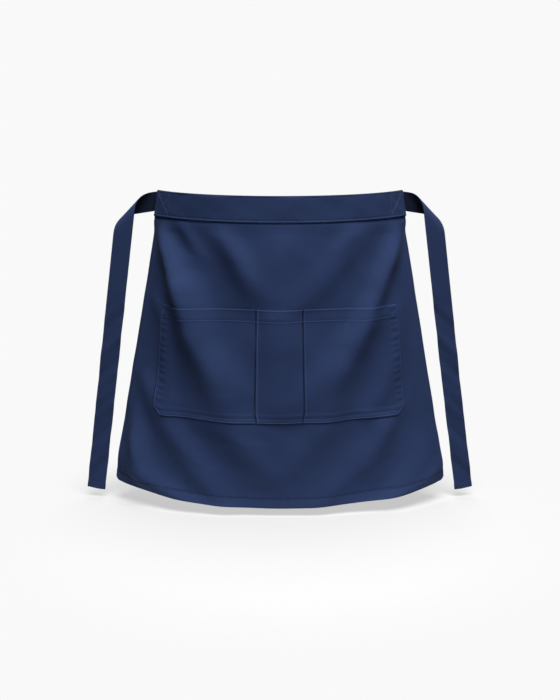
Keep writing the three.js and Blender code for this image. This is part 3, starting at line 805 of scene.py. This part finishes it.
class APRON_OT_band(bpy.types.Operator):
    """Builds the folded waistband with its topstitching and crossed boxes"""

    bl_idname = "apron.band"
    bl_label = "Waistband"

    def execute(self, context):
        s = sizes()
        low, high = -s["band_height"] / 2 - BAND_DROP, s["band_height"] / 2
        thick, cloth = BAND_THICKNESS, BAND_CLOTH
        close = np.array([0.25, 0.6, 1.0, 1.4, 1.8, 2.2, 2.7, 3.2, 3.7, 4.2, 4.7, 5.2, 6.0])
        rise = np.concatenate([low + close, np.linspace(low + 7, high - 5.5, 26)])
        rise = np.concatenate([rise, high - np.array([4.8, 4.2, 3.6, 3.0, 2.4, 1.8])])
        section = [("front", h) for h in rise]
        for turn in np.linspace(0.12, math.pi - 0.12, 9):
            out = thick / 2 * (1 + math.cos(turn))
            section.append((out, high - 1.5 * (1 - math.sin(turn))))
        section += [(0.0, h) for h in np.linspace(high - 1.6, low + 0.5, 14)]
        section += [(0.2, low + 0.12), (cloth / 2, low), (cloth - 0.2, low + 0.12), (cloth, low + 0.5)]
        section += [(cloth, 0.0), (cloth, high - cloth - 0.25), (cloth + 0.3, high - cloth)]
        section += [(thick - cloth - 0.3, high - cloth), (thick - cloth, high - cloth - 0.25)]
        section += [(thick - cloth, 0.0), (thick - cloth, low + 0.5)]
        section += [(thick - cloth + 0.2, low + 0.12), (thick - cloth / 2, low), (thick - 0.15, low + 0.06)]
        near = np.linspace(CROSS_INNER - 0.008, 1.0, 56)
        across = shares_with(np.concatenate([near, -near]), 170)
        columns = []
        edge, seam_and_edge_shade = [], []
        for out, h in section:
            height = np.full_like(across, h)
            if out == "front":
                columns.append(band_front(across, height))
                # Painted shade in the grooves along both stitch rows.
                lines = 0.3 * bump(h, low + BAND_LOW_ROW, 0.6) + 0.3 * bump(h, high - BAND_TOP_ROW, 0.6)
                seam_and_edge_shade.append(np.full_like(across, lines))
            else:
                columns.append(band_point(across, height, out))
                # Painted shade: a thin dark line along the band's top fold.
                seam_and_edge_shade.append(np.full_like(across, 0.55 * bump(h, high, 1.2)))
            outer = out == "front" or out > thick - cloth
            # Wear and painted highlight: the outer faces are lightened along the lower bead and just below
            # the top stitch row.
            wear_and_highlight = 0.9 * bump(h, low + 1.4, 1.0) + 0.35 * bump(h, high - 3.2, 0.9) if outer else 0.0
            # Painted highlight along both diagonals of each crossed box.
            diagonals = cross_lines()[4:]
            cross_highlight = CROSS_SHINE * cross_seam(across, h, diagonals) if out == "front" else 0.0
            edge.append(np.maximum(np.full_like(across, wear_and_highlight), cross_highlight))
        grid = np.stack(columns)
        around, steps = grid.shape[:2]
        index = np.arange(around * steps).reshape(around, steps)
        ring = np.roll(index, -1, axis=0)
        faces = np.stack([index[:, :-1], index[:, 1:], ring[:, 1:], ring[:, :-1]], -1).reshape(-1, 4)
        faces = faces.tolist()
        faces.append(index[:, 0].tolist())
        faces.append(index[::-1, -1].tolist())
        radius, half = band_arc(0.0)
        around_step = np.linalg.norm(np.diff(grid[:, steps // 2], axis=0), axis=1)
        around_length = np.concatenate([[0], np.cumsum(around_step)])
        uv = np.stack(
            [np.broadcast_to(across * radius * half, (around, steps)),
             np.broadcast_to(around_length[:, None], (around, steps))], -1)
        marks = {
            "edge": np.stack(edge).ravel(),
            "seam_and_edge_shade": np.stack(seam_and_edge_shade).ravel(),
            "inner": np.zeros(around * steps),
        }
        band = link_mesh("band_cloth", grid.reshape(-1, 3), faces, uv.reshape(-1, 2), marks)
        split = bmesh.new()
        split.from_mesh(band.data)
        bmesh.ops.triangulate(split, faces=[f for f in split.faces if len(f.verts) > 4])
        split.to_mesh(band.data)
        split.free()
        band.data.materials.append(finish_material("band_twill"))
        settle(band, "band_cloth", "waistband")
        runs = []
        line = np.linspace(-0.996, 0.996, 400)
        runs.append(surface_run(band_front, line, low + BAND_LOW_ROW))
        runs.append(surface_run(band_front, line, high - BAND_TOP_ROW))
        for sign in (-1, 1):
            for (u0, h0), (u1, h1) in cross_lines():
                t = np.linspace(0, 1, 30)
                runs.append(surface_run(band_front, sign * mix(u0, u1, t), mix(h0, h1, t)))
        stitches = sew("band_stitches", runs)
        return {"FINISHED"}


# Pocket

POCKET_HALF_TOP = 196.8
POCKET_HALF_CUT = 211.0
POCKET_HALF_BOTTOM = 195.5
POCKET_MEAN_HALF = 205.0
POCKET_SAG = 2.0
POCKET_CLOTH = 1.1
POCKET_SEAT = 0.15
DIVIDER_HALF = 2.4
DIVIDER_RISE = 1.3
DIVIDER_GROOVE = 1.1
DIVIDER_SHIFT = 0.7
MOUTH_GAPE_SIDE = 2.2
MOUTH_GAPE_MIDDLE = 2.4
MOUTH_DEPTH_SHARE = 0.7


def pocket_half(z):
    s = sizes()
    above = (s["pocket_top"] - z) / (s["pocket_top"] - s["pocket_cut"])
    below = (s["pocket_cut"] - z) / (s["pocket_cut"] - s["pocket_bottom"])
    upper = mix(POCKET_HALF_TOP, POCKET_HALF_CUT, above)
    lower = mix(POCKET_HALF_CUT, POCKET_HALF_BOTTOM, below)
    return np.where(z > s["pocket_cut"], upper, lower)


def pocket_gape(place, down):
    side = np.abs(place)
    divider = sizes()["divider_at"] / POCKET_HALF_TOP
    room = DIVIDER_HALF / POCKET_HALF_TOP
    middle = side < divider
    start = np.where(middle, divider - room, divider + room)
    end = np.where(middle, 0.0, 1.0)
    t = clamp((side - start) / (end - start), 0.0, 1.0)
    swell = np.where(middle, smooth(0, 0.55, t), np.maximum(np.sin(np.pi * t), 0.0) ** 1.8)
    fall = 1 - smooth(0.05, MOUTH_DEPTH_SHARE, down)
    return POCKET_SEAT + np.where(middle, MOUTH_GAPE_MIDDLE, MOUTH_GAPE_SIDE) * swell * fall


def divider_apart(place):
    """Distance to the right of the nearest divider's middle, in millimetres."""
    side = np.where(place < 0, -1.0, 1.0)
    return place * POCKET_HALF_TOP - side * sizes()["divider_at"] - DIVIDER_SHIFT


def divider_lift(place):
    """A raised tuck with its sewn groove along its left foot."""
    apart = divider_apart(place)
    return DIVIDER_RISE * bump(apart, 0.5, 0.85) - DIVIDER_GROOVE * bump(apart, -1.8, 0.6)


def pocket_border(place, z):
    """Distance in from the pocket's sewn edge, in millimetres."""
    s = sizes()
    sides = (1 - np.abs(place)) * POCKET_HALF_TOP
    return np.minimum(sides, z - s["pocket_bottom"])


def pocket_detail(place, z):
    s = sizes()
    fold = s["pocket_top"] - s["pocket_hem"]
    border = pocket_border(place, z)
    groove = 0.32 * bump(z, fold - POCKET_HEM_ROW, 0.7) - 0.2 * bump(z, fold + POCKET_HEM_ROW, 0.8)
    hem_body = 0.3 * smooth(fold - 1, fold + 1, z)
    lip = 0.35 * bump(z, s["pocket_top"] - 1.2, 1.0)
    lip = lip + 0.45 * bump(border, POCKET_ROW, 0.8) - 0.35 * bump(border, 0.0, 0.8)
    sewn = -0.1 * bump(border, 4.4, 0.8)
    along = place * POCKET_MEAN_HALF
    pucker = 0.65 * np.sin(z * 0.55 + border * 0.12 + np.sin(z * 0.17)) * bump(border, 10.0, 4.5)
    pucker = pucker + 0.2 * np.sin(along * 0.4 + np.sin(along * 0.09)) * bump(z, fold, 5.0)
    soft = hand_of_cloth(along, z, 0.2) * smooth(0.0, 20.0, border)
    return groove + hem_body + lip + sewn + pucker + soft + divider_lift(place)


def pocket_place(place, z, out):
    u = np.zeros_like(place)
    for _ in range(4):
        radius, half = skirt_arc(share_down(u, z))
        u = place * pocket_half(z) / (radius * half)
    s = sizes()
    down = (s["pocket_top"] - z) / (s["pocket_top"] - s["pocket_bottom"])
    level = z - POCKET_SAG * down * (1 - smooth(0.0, 0.75, np.abs(place)))
    radius, half = skirt_arc(share_down(u, level))
    along = u * radius * half
    return skirt_point(u, level, SKIRT_FRONT + pocket_gape(place, down) + out), along


def pocket_front(place, z):
    return pocket_place(place, z, POCKET_CLOTH + pocket_detail(place, z))[0]


class APRON_OT_pocket(bpy.types.Operator):
    """Builds the divided pocket panel with its hem, dividers and stitching"""

    bl_idname = "apron.pocket"
    bl_label = "Pocket panel"

    def execute(self, context):
        s = sizes()
        d = s["divider_at"] / POCKET_HALF_TOP
        w = DIVIDER_HALF / POCKET_HALF_TOP
        near = d + w * np.linspace(-1.5, 1.5, 19)
        rim = 1 - np.array([0, 0.3, 0.7, 1.2, 1.8, 2.5, 3.2, 3.9, 4.6, 5.5, 7.0]) / POCKET_HALF_TOP
        place = shares_with(np.concatenate([near, -near, rim, -rim]), 130)
        fold = s["pocket_top"] - s["pocket_hem"]
        close = np.array([-2.4, -1.6, -0.8, 0.0, 0.8, 1.6, 2.4])
        tops = s["pocket_top"] - np.array([0, 0.4, 0.9, 1.5, 2.2, 3.0, 4.0, 6.0])
        lows = s["pocket_bottom"] + np.array([0, 0.4, 0.9, 1.5, 2.2, 2.9, 3.6, 4.3, 5.2, 6.5, 8.0])
        levels = np.concatenate([fold + close, tops, lows, [s["pocket_cut"]]])
        z = shares_with(levels, 70, s["pocket_bottom"], s["pocket_top"])[::-1]
        p, level = np.meshgrid(place, z)
        front, along = pocket_place(p, level, POCKET_CLOTH + pocket_detail(p, level))
        hidden = np.minimum(pocket_detail(p, level), 0.6) - divider_lift(p)
        back, _ = pocket_place(p, level, np.maximum(hidden, -0.1) * 0.2)
        uv = np.stack([along, level], -1)
        border = pocket_border(p, level)
        sides = POCKET_HALF_TOP * (1 - np.abs(p))
        # Painted light and shade at the border are weaker on the right-hand side, which keeps 0.35 of the
        # border's highlight and dark border line.
        right = np.where((p > 0) & (sides <= border), 0.35, 1.0)
        # Wear and painted highlight: lightened inside the sewn border, at the mouth's top edge, at the
        # hem's stitch row and on each divider's right-hand side.
        edge = np.maximum(0.8 * right * bump(border, POCKET_ROW, 0.8), bump(level, s["pocket_top"], 1.2))
        edge = np.maximum(edge, 0.7 * bump(level, fold - POCKET_HEM_ROW, 0.7))
        apart = divider_apart(p)
        edge = np.maximum(edge, 0.75 * bump(apart, 1.1, 0.8))
        # Painted shadow: a dark line along the sewn border, with painted shade at the sewn groove, above
        # the hem's stitch row and down each divider's left foot.
        outline_shadow = right * bump(border, 0.0, 1.0)
        seam_and_edge_shade = np.maximum(0.15 * bump(border, 4.4, 0.7), 0.3 * bump(level, fold + POCKET_HEM_ROW, 0.7))
        seam_and_edge_shade = np.maximum(seam_and_edge_shade, np.maximum(outline_shadow, bump(apart, -1.7, 0.8)))
        none = np.zeros_like(p)
        marks = {"edge": (edge, edge * 0.3, 0.1), "seam_and_edge_shade": (seam_and_edge_shade, none, 0.9), "inner": (none, none, 0.0)}
        pocket = cloth_solid("pocket_cloth", front, back, uv, marks)
        pocket.data.materials.append(finish_material("pocket_twill"))
        settle(pocket, "pocket_cloth", "pocket_panel")
        runs = []
        line = np.linspace(-0.985, 0.985, 300)
        runs.append(surface_run(pocket_front, line, fold - POCKET_HEM_ROW))
        runs.append(surface_run(pocket_front, line, s["pocket_bottom"] + POCKET_ROW))
        rise = np.linspace(s["pocket_bottom"] + POCKET_ROW, s["pocket_top"] - 2, 200)
        inset = 1 - POCKET_ROW / POCKET_HALF_TOP
        for sign in (-1, 1):
            runs.append(surface_run(pocket_front, sign * inset, rise))
            runs.append(surface_run(pocket_front, sign * d + 0.95 * w, rise))
        stitches = sew("pocket_stitches", runs)
        return {"FINISHED"}


# Ties


def tie_line(length):
    """The flat strap's middle line: step outward, height and heading at each length."""
    steps = np.arange(-40.0, 620.0, 0.5)
    heading = mix(TIE_RISE, TIE_DROOP, smooth(-10, 4, steps + 0.25))
    out = np.concatenate([[0], np.cumsum(0.5 * np.cos(heading))[:-1]])
    up = np.concatenate([[0], np.cumsum(-0.5 * np.sin(heading))[:-1]])
    zero = np.searchsorted(steps, 0.0)
    out, up = out - out[zero], up - up[zero]
    return np.interp(length, steps, out), np.interp(length, steps, up), np.interp(length, steps, heading)


def tie_middle(length, width, sway=0.0):
    """Middle surface of a strap, drawn for the left, by length and by place across its width."""
    length, width = np.broadcast_arrays(np.asarray(length, float), np.asarray(width, float))
    out, up, heading = tie_line(length)
    out = out + width * np.sin(heading)
    up = up + width * np.cos(heading)
    r = sizes()["tie_turn"]
    sine, cosine = math.sin(TIE_TURN_AXIS), math.cos(TIE_TURN_AXIS)
    past = out * sine + up * cosine - TIE_TURN_START
    along = out * cosine - up * sine
    turned = clamp(past / r, 0.0, math.pi)
    hanging = np.maximum(0.0, past - math.pi * r)
    beyond = np.where(past < 0, past, r * np.sin(turned) - hanging)
    ripple = smooth(20, 120, hanging) * (
        0.8 * np.sin(hanging * 2 * np.pi / 54.0)
        + 0.7 * np.sin(hanging * 2 * np.pi / 37.0 + width * 0.03)
        + 0.3 * np.sin(hanging * 2 * np.pi / 17.0 - width * 0.05 + 1.3)
    )
    forward = np.where(past < 0, 0.0, r * (1 - np.cos(turned)) + ripple)
    a = (beyond + TIE_TURN_START) * sine + along * cosine
    h = (beyond + TIE_TURN_START) * cosine - along * sine
    leave_x, leave_y, leave_z = TIE_LEAVE
    swayed = sway * smooth(0.6, 2.2, turned) * (1 - smooth(*TIE_SWAY_END, hanging))
    free = np.stack(
        [
            -leave_x - a * math.cos(TIE_BACK) - forward * math.sin(TIE_BACK) + swayed,
            leave_y + a * math.sin(TIE_BACK) - forward * math.cos(TIE_BACK),
            leave_z + h,
        ],
        -1,
    )
    radius, half = band_arc(leave_z + up - sizes()["band_lift"])
    for _ in range(2):
        share = 1 + (out + TIE_BAND_GAP) / (radius * half)
        radius, half = band_arc(leave_z + up - band_lift(share))
    held = on_arc(radius, half, -share, BAND_CLOTH + BAND_SLOT / 2, leave_z + up)
    t = np.where(out > TIE_BAND_LENGTH, 1.0, smooth(-TIE_BAND_GAP + 0.8, TIE_BAND_LENGTH, out))
    return held + (free - held) * t[..., None]


def tie_normal(length, width, sway=0.0):
    e = 0.5
    along = tie_middle(length + e, width, sway) - tie_middle(length - e, width, sway)
    across = tie_middle(length, width + e, sway) - tie_middle(length, width - e, sway)
    normal = np.cross(along, across)
    return normal / np.linalg.norm(normal, axis=-1, keepdims=True)


def tie_thickness(length, width):
    """Half thickness of a strap: seams near both edges and a thicker turned end."""
    s = sizes()
    inset = s["tie_width"] / 2 - np.abs(width)
    groove = -0.16 * bump(inset, TIE_ROW, 0.6)
    to_end = s["tie_length"] - length
    end = 0.35 * smooth(11.0, 9.5, to_end) - 0.2 * bump(to_end, TIE_END_ROW, 0.7)
    return TIE_CLOTH / 2 + groove + end


class APRON_OT_ties(bpy.types.Operator):
    """Builds both turned ties with their edge stitching and turned ends"""

    bl_idname = "apron.ties"
    bl_label = "Ties"

    def execute(self, context):
        s = sizes()
        half = s["tie_width"] / 2
        inset = np.array([0, 0.6, 1.3, 1.9, 2.4, 2.9, 3.5, 4.4, 6.5, 9.5, 12.5])
        widths = np.unique(np.concatenate([-half + inset, half - inset, [0.0]]))
        root = np.arange(-24.0, 90.0, 1.3)
        end = s["tie_length"] - np.array([13, 12, 11.4, 10.8, 10.3, 9.8, 9.2, 8, 6, 4, 2, 0.8, 0])
        hanging = np.linspace(91.0, s["tie_length"] - 14.0, 180)
        lengths = np.concatenate([root, hanging, end])
        length, width = np.meshgrid(lengths, widths, indexing="ij")
        thick = tie_thickness(length, width)[..., None]
        to_end = s["tie_length"] - length
        edge = np.maximum(bump(half - np.abs(width), 0.0, 0.8), bump(to_end, 0.0, 0.9))
        # Painted shade in the grooves of the stitch rows along both edges and across the end, and on the
        # rim.
        seam_and_edge_shade = np.maximum(bump(half - np.abs(width), TIE_ROW, 0.5), bump(to_end, TIE_END_ROW, 0.6)) * 0.5
        # Painted shade on the back face and rim: full up to 66 mm along the tie and gone by 96 mm, where
        # the turn's shade falls.
        painted_turn_shade = smooth(96.0, 66.0, length)
        none = np.zeros_like(length)
        for side, name in ((-1, "tie_left"), (1, "tie_right")):
            flip = np.array([-side, 1.0, 1.0])
            sway = TIE_SWAY[name]
            middle = tie_middle(length, width, sway)
            normal = tie_normal(length, width, sway)
            faces = [(middle + normal * thick) * flip, (middle - normal * thick) * flip]
            uv = np.stack([width, length], -1)
            marks = {
                "edge": (0.4 * edge, 0.4 * edge, 0.0),
                "seam_and_edge_shade": (seam_and_edge_shade, seam_and_edge_shade, 0.6),
                "inner": (none, painted_turn_shade, painted_turn_shade),
            }
            tie = cloth_solid(name + "_cloth", faces[0], faces[1], uv, marks)
            tie.data.materials.append(finish_material("tie_twill"))
            settle(tie, "tie_cloth", name)
            runs = []
            run = np.arange(2.0, s["tie_length"] - 1.0, 1.5)
            for sign in (-1, 1):
                seen = run[run > (TIE_TURN_SEAM_FROM if sign < 0 else 0.0)]
                for edge_side in (-1, 1):
                    at = np.full_like(seen, edge_side * (half - TIE_ROW))
                    n = tie_normal(seen, at, sway) * sign
                    path = tie_middle(seen, at, sway) + n * tie_thickness(seen, at)[:, None]
                    runs.append((path * flip, n * flip))
                at = np.linspace(-half + TIE_ROW, half - TIE_ROW, 30)
                low = np.full_like(at, s["tie_length"] - TIE_END_ROW)
                n = tie_normal(low, at, sway) * sign
                path = tie_middle(low, at, sway) + n * tie_thickness(low, at)[:, None]
                runs.append((path * flip, n * flip))
            stitches = sew(name + "_stitches", runs)
        return {"FINISHED"}


# Stage


def area_light(name, place, aim, size, power, colour=(1, 1, 1)):
    data = bpy.data.lights.new(name, "AREA")
    data.shape = "DISK"
    data.size = size
    data.energy = power
    data.color = colour
    lamp = bpy.data.objects.new(name, data)
    bpy.context.scene.collection.objects.link(lamp)
    lamp.location = place
    lamp.rotation_euler = (Vector(aim) - Vector(place)).to_track_quat("-Z", "Y").to_euler()
    return lamp


class APRON_OT_stage(bpy.types.Operator):
    """Builds the pale floor, the soft lights and the camera"""

    bl_idname = "apron.stage"
    bl_label = "Stage"

    def execute(self, context):
        stage = context.scene.apron_stage
        colours = context.scene.apron_colours
        deselect_all()
        bpy.ops.mesh.primitive_circle_add(vertices=96, radius=0.7, fill_type="NGON", location=(0, 0, 0))
        floor = context.object
        floor.name = "studio_floor"
        bpy.ops.object.mode_set(mode="EDIT")
        bpy.ops.mesh.select_all(action="SELECT")
        bpy.ops.transform.translate(value=(0, 0, stage.floor))
        bpy.ops.object.mode_set(mode="OBJECT")
        material, tree, shader = new_material("pale_floor")
        place = tree.nodes.new("ShaderNodeTexCoord").outputs["Object"]
        grain = noise(tree, place, 35.0, 2.0)
        pale = tuple(colours.ground)
        base = mix_colour(tree, grain, tuple(c * 0.995 for c in pale), pale)
        tree.links.new(base, shader.inputs["Base Color"])
        shader.inputs["Roughness"].default_value = 0.95
        shader.inputs["Specular IOR Level"].default_value = 0.0
        shader.inputs["Emission Color"].default_value = (1, 1, 1, 1)
        shader.inputs["Emission Strength"].default_value = FLOOR_GLOW
        distance = tree.nodes.new("ShaderNodeVectorMath")
        distance.operation = "LENGTH"
        flat = tree.nodes.new("ShaderNodeMapping")
        flat.inputs["Scale"].default_value = (1, 1, 0)
        tree.links.new(place, flat.inputs["Vector"])
        tree.links.new(flat.outputs["Vector"], distance.inputs[0])
        fade = tree.nodes.new("ShaderNodeMapRange")
        fade.interpolation_type = "SMOOTHERSTEP"
        fade.inputs["From Min"].default_value = FLOOR_CLEAR
        fade.inputs["From Max"].default_value = FLOOR_GONE
        fade.inputs["To Min"].default_value = 1.0
        fade.inputs["To Max"].default_value = 0.0
        tree.links.new(distance.outputs["Value"], fade.inputs["Value"])
        tree.links.new(fade.outputs["Result"], shader.inputs["Alpha"])
        floor.data.materials.append(material)

        world = bpy.data.worlds.new("studio")
        context.scene.world = world
        world.use_nodes = True
        tree = world.node_tree
        tree.nodes.clear()
        out = tree.nodes.new("ShaderNodeOutputWorld")
        room = tree.nodes.new("ShaderNodeBackground")
        room.inputs["Color"].default_value = (0.95, 0.97, 1.0, 1.0)
        room.inputs["Strength"].default_value = stage.ambient
        seen = tree.nodes.new("ShaderNodeBackground")
        seen.inputs["Color"].default_value = (0.947, 0.947, 0.947, 1.0)
        path = tree.nodes.new("ShaderNodeLightPath")
        blend = tree.nodes.new("ShaderNodeMixShader")
        tree.links.new(path.outputs["Is Camera Ray"], blend.inputs[0])
        tree.links.new(room.outputs[0], blend.inputs[1])
        tree.links.new(seen.outputs[0], blend.inputs[2])
        tree.links.new(blend.outputs[0], out.inputs["Surface"])

        middle = (0.0, 0.0, -0.22)
        east = math.cos(stage.key_height) * math.sin(stage.key_turn)
        south = -math.cos(stage.key_height) * math.cos(stage.key_turn)
        toward = Vector((east, south, math.sin(stage.key_height)))
        area_light("key_light", Vector(middle) + toward * KEY_DISTANCE, middle, 2.0, stage.key)
        area_light("fill_light", (-1.6, -2.2, 0.6), middle, 1.6, stage.fill)
        area_light("back_light", (0.0, 0.65, 2.0), (0.0, 0.0, stage.floor), 1.2, stage.back)

        data = bpy.data.cameras.new("camera")
        data.sensor_fit = "VERTICAL"
        data.sensor_height = 36.0
        data.lens = stage.lens
        data.clip_end = 50.0
        camera = bpy.data.objects.new("camera", data)
        context.scene.collection.objects.link(camera)
        camera.location = (0.0, -stage.distance, stage.height)
        camera.rotation_euler = (math.pi / 2 - stage.pitch, 0.0, 0.0)
        context.scene.camera = camera
        context.scene.view_settings.view_transform = "Standard"
        return {"FINISHED"}


OPERATORS = (APRON_OT_skirt, APRON_OT_band, APRON_OT_pocket, APRON_OT_ties, APRON_OT_stage)


class APRON_PT_panel(bpy.types.Panel):
    """Lists the apron's sizes, colours and building steps"""

    bl_idname = "APRON_PT_panel"
    bl_label = "Waist apron"
    bl_space_type = "VIEW_3D"
    bl_region_type = "UI"
    bl_category = "Apron"

    def draw(self, context):
        layout = self.layout
        for group in (context.scene.apron_sizes, context.scene.apron_colours, context.scene.apron_stage):
            box = layout.box()
            for name in type(group).__annotations__:
                box.prop(group, name)
        for operator in OPERATORS:
            layout.operator(operator.bl_idname)


CLASSES = (ApronSizes, ApronColours, ApronStage, *OPERATORS, APRON_PT_panel)


def register():
    for item in CLASSES:
        bpy.utils.register_class(item)
    bpy.types.Scene.apron_sizes = PointerProperty(type=ApronSizes)
    bpy.types.Scene.apron_colours = PointerProperty(type=ApronColours)
    bpy.types.Scene.apron_stage = PointerProperty(type=ApronStage)


def unregister():
    del bpy.types.Scene.apron_stage
    del bpy.types.Scene.apron_colours
    del bpy.types.Scene.apron_sizes
    for item in reversed(CLASSES):
        bpy.utils.unregister_class(item)


def main():
    register()
    bpy.ops.apron.skirt()
    bpy.ops.apron.band()
    bpy.ops.apron.pocket()
    bpy.ops.apron.ties()
    bpy.ops.apron.stage()


if __name__ == "__main__":
    main()
